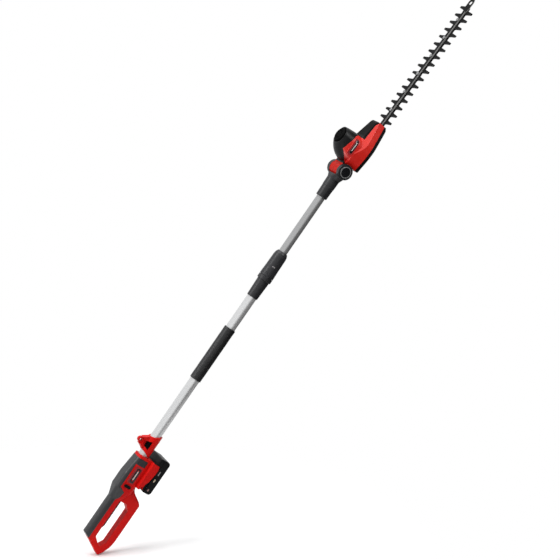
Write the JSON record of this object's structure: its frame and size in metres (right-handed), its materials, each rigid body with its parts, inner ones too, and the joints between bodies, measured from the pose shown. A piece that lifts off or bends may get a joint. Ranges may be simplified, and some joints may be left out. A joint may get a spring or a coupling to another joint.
{
  "type": "pole hedge trimmer",
  "caption": "Battery pole hedge trimmer with a loop handle, telescopic tube, tilting head and a double-sided reciprocating blade.",
  "frame": {"origin": "where the pole axis meets the slanted flat rear face of the handle", "axes": "+Z along the pole to the blade, +X to the battery side, Y across the tool"},
  "size_m": [0.1455, 0.0736, 1.852],
  "materials": {
    "red_plastic": "satin moulded plastic",
    "black_plastic": "satin moulded plastic",
    "white_plastic": "plain moulded plastic",
    "soft_grip": "fine textured soft overmould",
    "foam": "closed-cell foam",
    "cable_rubber": "smooth cable sheath",
    "aluminium": "drawn and clear anodised",
    "blade_steel": "black coated steel with ground edges",
    "bright_steel": "zinc plated",
    "cell_wrap": "shrink wrapped cells",
    "board_green": "coated circuit board"
  },
  "bodies": {
    "handle": {"handle_shell_left": "red_plastic", "handle_shell_right": "red_plastic", "soft_grip_cover": "soft_grip", "handle_screws": "bright_steel", "trigger_pin": "bright_steel", "trigger_switch": "black_plastic", "trigger_spring": "bright_steel", "control_board": "board_green", "terminal_block": "black_plastic", "lower_tube": "aluminium", "strap_bracket": "red_plastic", "strap_liner": "black_plastic", "strap_screw": "bright_steel", "foam_grip": "foam", "clamp_body": "black_plastic", "clamp_collet": "white_plastic"},
    "trigger": {"trigger": "black_plastic"},
    "lock_off": {"lock_off_button": "black_plastic"},
    "battery": {"battery_cover": "black_plastic", "battery_base": "black_plastic", "battery_cells": "cell_wrap", "battery_board": "board_green"},
    "battery_button": {"battery_button": "black_plastic"},
    "lock_sleeve": {"lock_sleeve": "black_plastic"},
    "upper_pole": {"upper_tube": "aluminium", "guide_bush": "white_plastic", "coiled_cable": "cable_rubber", "tilt_socket": "black_plastic", "socket_screw": "bright_steel", "pivot_bolt": "bright_steel"},
    "tilt_button": {"tilt_button": "black_plastic", "tilt_lock_disc": "bright_steel"},
    "head": {"head_shell_left": "red_plastic", "head_shell_right": "red_plastic", "motor_cover": "black_plastic", "motor_cap": "black_plastic", "bottom_cover": "black_plastic", "head_screws": "bright_steel", "gearbox_plate": "aluminium", "motor_can": "bright_steel", "gear_axle": "bright_steel", "support_bar": "blade_steel", "blade_bolts": "bright_steel", "blade_nuts": "bright_steel", "blade_guide_plate": "bright_steel", "guide_bolt": "bright_steel"},
    "motor_rotor": {"motor_rotor": "bright_steel", "pinion": "bright_steel"},
    "crank": {"crank_gear": "bright_steel", "crank_cam": "bright_steel"},
    "upper_blade": {"upper_blade": "blade_steel"},
    "lower_blade": {"lower_blade": "blade_steel"}
  },
  "joints": [
    {"name": "trigger_pull", "type": "hinge", "parent": "handle", "child": "trigger", "pos_m": [0.012, 0, 0.046], "axis": [0, -1, 0], "range_deg": [0, 3.2], "stiffness_Nm_per_rad": 0.5},
    {"name": "lock_off_press", "type": "slide", "parent": "handle", "child": "lock_off", "axis": [0, 1, 0], "range_m": [0, 0.003], "stiffness_N_per_m": 600},
    {"name": "battery_slide", "type": "slide", "parent": "handle", "child": "battery", "axis": [0, 0, 1], "range_m": [0, 0.13]},
    {"name": "battery_release", "type": "slide", "parent": "battery", "child": "battery_button", "axis": [0, 0, -1], "range_m": [0, 0.003], "stiffness_N_per_m": 600},
    {"name": "sleeve_turn", "type": "hinge", "parent": "handle", "child": "lock_sleeve", "pos_m": [0, 0, 0.9], "axis": [0, 0, 1], "range_deg": [0, 90]},
    {"name": "telescope", "type": "slide", "parent": "handle", "child": "upper_pole", "axis": [0, 0, 1], "range_m": [0, 0.56], "deforming": ["coiled_cable"]},
    {"name": "tilt_release", "type": "slide", "parent": "upper_pole", "child": "tilt_button", "axis": [0, 1, 0], "range_m": [0, 0.005], "stiffness_N_per_m": 800},
    {"name": "head_tilt", "type": "hinge", "parent": "upper_pole", "child": "head", "pos_m": [0, 0, 1.223], "axis": [0, 1, 0], "range_deg": [0, 90]},
    {"name": "crank_spin", "type": "hinge", "parent": "head", "child": "crank", "pos_m": [0.01072, 0, 1.32631], "axis": [0.9994, 0, -0.0359], "continuous": true},
    {"name": "rotor_spin", "type": "hinge", "parent": "head", "child": "motor_rotor", "pos_m": [0.00987, 0, 1.3027], "axis": [0.9994, 0, -0.0359], "continuous": true},
    {"name": "upper_blade_stroke", "type": "slide", "parent": "head", "child": "upper_blade", "axis": [0.0359, 0, 0.9994], "range_m": [-0.0062, 0.0062]},
    {"name": "lower_blade_stroke", "type": "slide", "parent": "head", "child": "lower_blade", "axis": [0.0359, 0, 0.9994], "range_m": [-0.0062, 0.0062]}
  ],
  "couplings": [
    {"joint": "rotor_spin", "follows": "crank_spin", "ratio": -6},
    {"joint": "lower_blade_stroke", "follows": "upper_blade_stroke", "ratio": -1}
  ]
}
